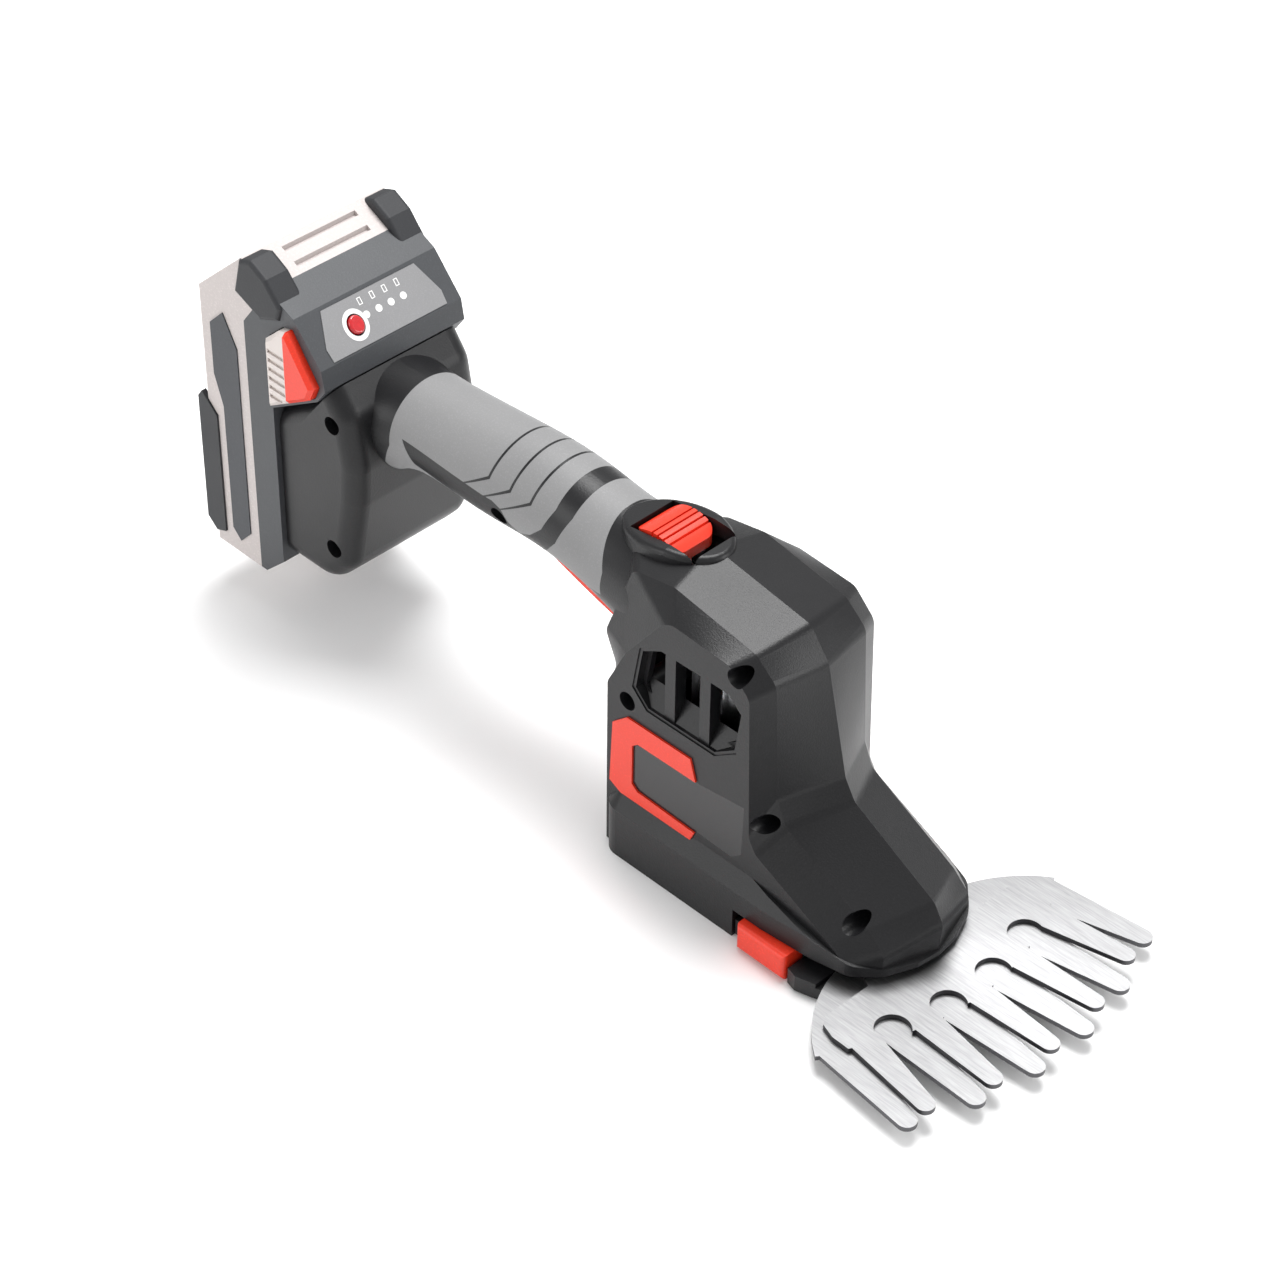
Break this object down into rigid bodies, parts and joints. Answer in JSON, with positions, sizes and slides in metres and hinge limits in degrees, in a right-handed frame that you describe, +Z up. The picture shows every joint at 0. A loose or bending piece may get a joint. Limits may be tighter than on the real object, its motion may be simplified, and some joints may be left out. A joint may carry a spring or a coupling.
{
  "type": "cordless grass shears",
  "caption": "Cordless grass shears with a level round handle, an upright motor head, flat comb blades in a drop-out cassette and a slide-on battery.",
  "frame": {"origin": "on the flat underside, on the axis that the moving blade swings about", "axes": "+X forward to the blade tips, +Y to the user's left, +Z up away from the flat underside"},
  "size_m": [0.3699, 0.1184, 0.149],
  "materials": {
    "black_housing": "fine spark-eroded texture, satin",
    "grey_grip": "soft overmoulded rubber, fine matt grain",
    "orange_plastic": "satin moulded plastic",
    "label": "plain printed plate, left blank",
    "blade_steel": "ground and brushed lengthways",
    "fastener_steel": "zinc plated",
    "gear_steel": "sintered steel",
    "gear_nylon": "natural nylon",
    "motor_steel": "zinc plated can",
    "bronze": "oil-filled bronze",
    "magnet": "ferrite",
    "copper": "copper and tinned brass",
    "board": "solder mask",
    "battery_light": "warm light grey, fine texture",
    "battery_dark": "slate grey, fine texture",
    "battery_rubber": "soft rubber bumper",
    "gauge_grey": "printed panel, matt",
    "gauge_light": "frosted light pipe",
    "red_rubber": "translucent red button",
    "cell_wrap": "heat-shrink sleeve"
  },
  "bodies": {
    "body": {"right_housing": "black_housing", "left_housing": "black_housing", "right_grip": "grey_grip", "left_grip": "grey_grip", "right_vent_grille": "black_housing", "left_vent_grille": "black_housing", "right_accent_frame": "orange_plastic", "left_accent_frame": "orange_plastic", "rating_plates": "label", "housing_screws": "fastener_steel", "lower_gear_plate": "black_housing", "middle_gear_plate": "black_housing", "motor_plate": "motor_steel", "idler_shaft": "fastener_steel", "crank_shaft": "fastener_steel", "motor_can": "motor_steel", "motor_bushes": "bronze", "motor_magnets": "magnet", "trigger_pin": "fastener_steel", "trigger_switch": "black_housing", "trigger_spring": "fastener_steel", "terminal_block": "black_housing", "tool_terminals": "copper", "control_board": "board"},
    "trigger": {"trigger": "orange_plastic"},
    "lock_button": {"lock_button": "orange_plastic", "lock_spring": "fastener_steel"},
    "right_latch": {"right_blade_latch": "orange_plastic"},
    "left_latch": {"left_blade_latch": "orange_plastic"},
    "blade_cassette": {"cassette_tray": "black_housing", "lower_blade": "blade_steel", "pivot_bolt": "fastener_steel", "blade_screws": "fastener_steel"},
    "moving_blade": {"upper_blade": "blade_steel", "drive_fork": "gear_steel"},
    "rotor": {"rotor_shaft": "fastener_steel", "armature": "copper", "motor_pinion": "gear_steel", "cooling_fan": "gear_nylon"},
    "idler": {"idler_gear": "gear_nylon"},
    "crank": {"crank_gear": "gear_steel"},
    "battery": {"battery_rear_shell": "battery_light", "battery_front_case": "battery_dark", "battery_bumpers": "battery_rubber", "right_battery_ear": "battery_rubber", "left_battery_ear": "battery_rubber", "battery_side_panels": "battery_dark", "gauge_panel": "gauge_grey", "gauge_marks": "gauge_light", "gauge_lights": "gauge_light", "battery_cells": "cell_wrap", "cell_holder": "battery_dark", "battery_board": "board", "battery_contacts": "copper"},
    "right_release": {"right_release_button": "orange_plastic"},
    "left_release": {"left_release_button": "orange_plastic"},
    "gauge_button": {"gauge_button": "red_rubber"}
  },
  "joints": [
    {"name": "trigger_pull", "type": "hinge", "parent": "body", "child": "trigger", "pos_m": [-0.093, 0, 0.088], "axis": [0, -1, 0], "range_deg": [0, 6], "deforming": ["trigger_spring"]},
    {"name": "lock_slide", "type": "slide", "parent": "body", "child": "lock_button", "axis": [1, 0, 0], "range_m": [0, 0.006]},
    {"name": "right_latch_push", "type": "slide", "parent": "body", "child": "right_latch", "axis": [0, 1, 0], "range_m": [0, 0.003]},
    {"name": "left_latch_push", "type": "slide", "parent": "body", "child": "left_latch", "axis": [0, -1, 0], "range_m": [0, 0.003]},
    {"name": "cassette_drop", "type": "slide", "parent": "body", "child": "blade_cassette", "axis": [0, 0, -1], "range_m": [0, 0.03]},
    {"name": "blade_swing", "type": "hinge", "parent": "blade_cassette", "child": "moving_blade", "pos_m": [0, 0, 0.0081], "axis": [0, 0, 1], "range_deg": [-3.4, 5.6]},
    {"name": "rotor_spin", "type": "hinge", "parent": "body", "child": "rotor", "pos_m": [-0.008, 0, 0.06], "axis": [0, 0, 1], "continuous": true},
    {"name": "idler_spin", "type": "hinge", "parent": "body", "child": "idler", "pos_m": [0.012, 0, 0.03], "axis": [0, 0, 1], "continuous": true},
    {"name": "crank_spin", "type": "hinge", "parent": "body", "child": "crank", "pos_m": [0.034, 0, 0.02], "axis": [0, 0, 1], "continuous": true},
    {"name": "battery_slide", "type": "slide", "parent": "body", "child": "battery", "axis": [0, 0, 1], "range_m": [0, 0.08]},
    {"name": "right_release_press", "type": "slide", "parent": "battery", "child": "right_release", "axis": [0, 1, 0], "range_m": [0, 0.0025]},
    {"name": "left_release_press", "type": "slide", "parent": "battery", "child": "left_release", "axis": [0, -1, 0], "range_m": [0, 0.0025]},
    {"name": "gauge_press", "type": "slide", "parent": "battery", "child": "gauge_button", "axis": [-0.7451, 0, -0.6669], "range_m": [0, 0.0008]}
  ],
  "couplings": [
    {"joint": "idler_spin", "follows": "rotor_spin", "ratio": -0.25},
    {"joint": "crank_spin", "follows": "rotor_spin", "ratio": 0.09375}
  ]
}
